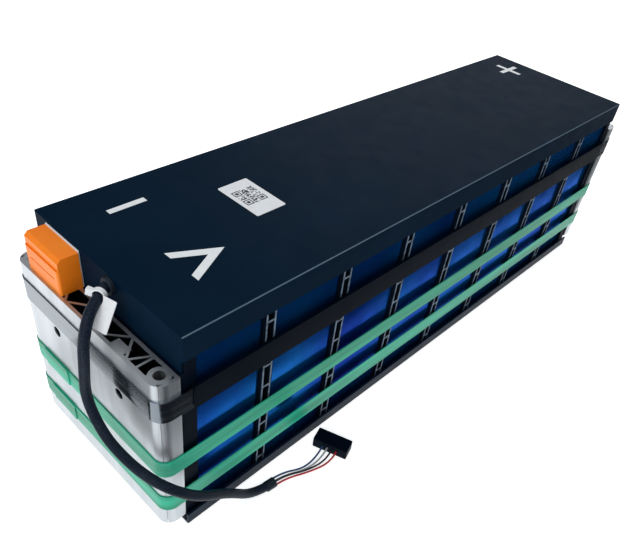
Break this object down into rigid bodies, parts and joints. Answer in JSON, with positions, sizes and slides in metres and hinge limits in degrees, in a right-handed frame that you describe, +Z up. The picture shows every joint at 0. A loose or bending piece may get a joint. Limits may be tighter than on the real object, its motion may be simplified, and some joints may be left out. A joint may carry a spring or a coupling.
{
  "type": "ev battery module",
  "caption": "Prismatic-cell battery module: a row of blue cells clamped between extruded end plates by a band and straps, with a flat cover and a sensing harness.",
  "frame": {"origin": "centre of the underside of the bottom tray", "axes": "+X along the row of cells towards the positive terminal, +Y across it towards the side of the output terminals, +Z up"},
  "size_m": [0.715, 0.2273, 0.2092],
  "materials": {
    "blue_film": "glossy",
    "black_plastic": "matte",
    "cover_plastic": "satin",
    "tray_plastic": "satin",
    "sleeve_plastic": "satin",
    "busbar_aluminium": "satin",
    "extruded_aluminium": "satin",
    "polished_steel": "polished",
    "green_strap": "glossy",
    "orange_plastic": "satin",
    "white_plastic": "satin",
    "white_ink": "matte",
    "label_paper": "matte",
    "wire_insulation": "satin",
    "cable_sleeve": "satin",
    "black_rubber": "matte"
  },
  "bodies": {
    "root": {"band_sleeve_back": "sleeve_plastic", "band_sleeve_front": "sleeve_plastic", "bottom_tray": "tray_plastic", "busbar_1": "busbar_aluminium", "busbar_2": "busbar_aluminium", "busbar_3": "busbar_aluminium", "busbar_4": "busbar_aluminium", "busbar_5": "busbar_aluminium", "busbar_6": "busbar_aluminium", "busbar_7": "busbar_aluminium", "cable_tie": "white_plastic", "cell_1": "blue_film", "cell_2": "blue_film", "cell_3": "blue_film", "cell_4": "blue_film", "cell_5": "blue_film", "cell_6": "blue_film", "cell_7": "blue_film", "cell_8": "blue_film", "cell_terminals": "busbar_aluminium", "cell_vents": "busbar_aluminium", "code_label": "label_paper", "connector": "black_plastic", "cover_symbols": "white_ink", "end_plate_minus": "extruded_aluminium", "end_plate_plus": "extruded_aluminium", "harness_grommet": "black_rubber", "harness_sleeve": "cable_sleeve", "insulator_minus_end": "black_plastic", "insulator_plus_end": "black_plastic", "lower_strap": "green_strap", "output_busbar_minus": "busbar_aluminium", "output_busbar_plus": "busbar_aluminium", "sensing_flex": "sleeve_plastic", "sleeve_end_tape": "black_rubber", "spacer_1": "black_plastic", "spacer_2": "black_plastic", "spacer_3": "black_plastic", "spacer_4": "black_plastic", "spacer_5": "black_plastic", "spacer_6": "black_plastic", "spacer_7": "black_plastic", "steel_band": "polished_steel", "temperature_sensors": "black_plastic", "terminal_base_minus": "white_plastic", "terminal_base_plus": "white_plastic", "terminal_bolts": "polished_steel", "terminal_cap_lid_minus": "orange_plastic", "terminal_cap_lid_plus": "orange_plastic", "terminal_cap_minus": "orange_plastic", "terminal_cap_plus": "orange_plastic", "top_cover": "cover_plastic", "upper_strap": "green_strap", "wire_1": "wire_insulation", "wire_2": "wire_insulation", "wire_3": "wire_insulation", "wire_4": "wire_insulation", "wire_flag": "label_paper", "wiring_tray": "black_plastic"}
  },
  "joints": []
}
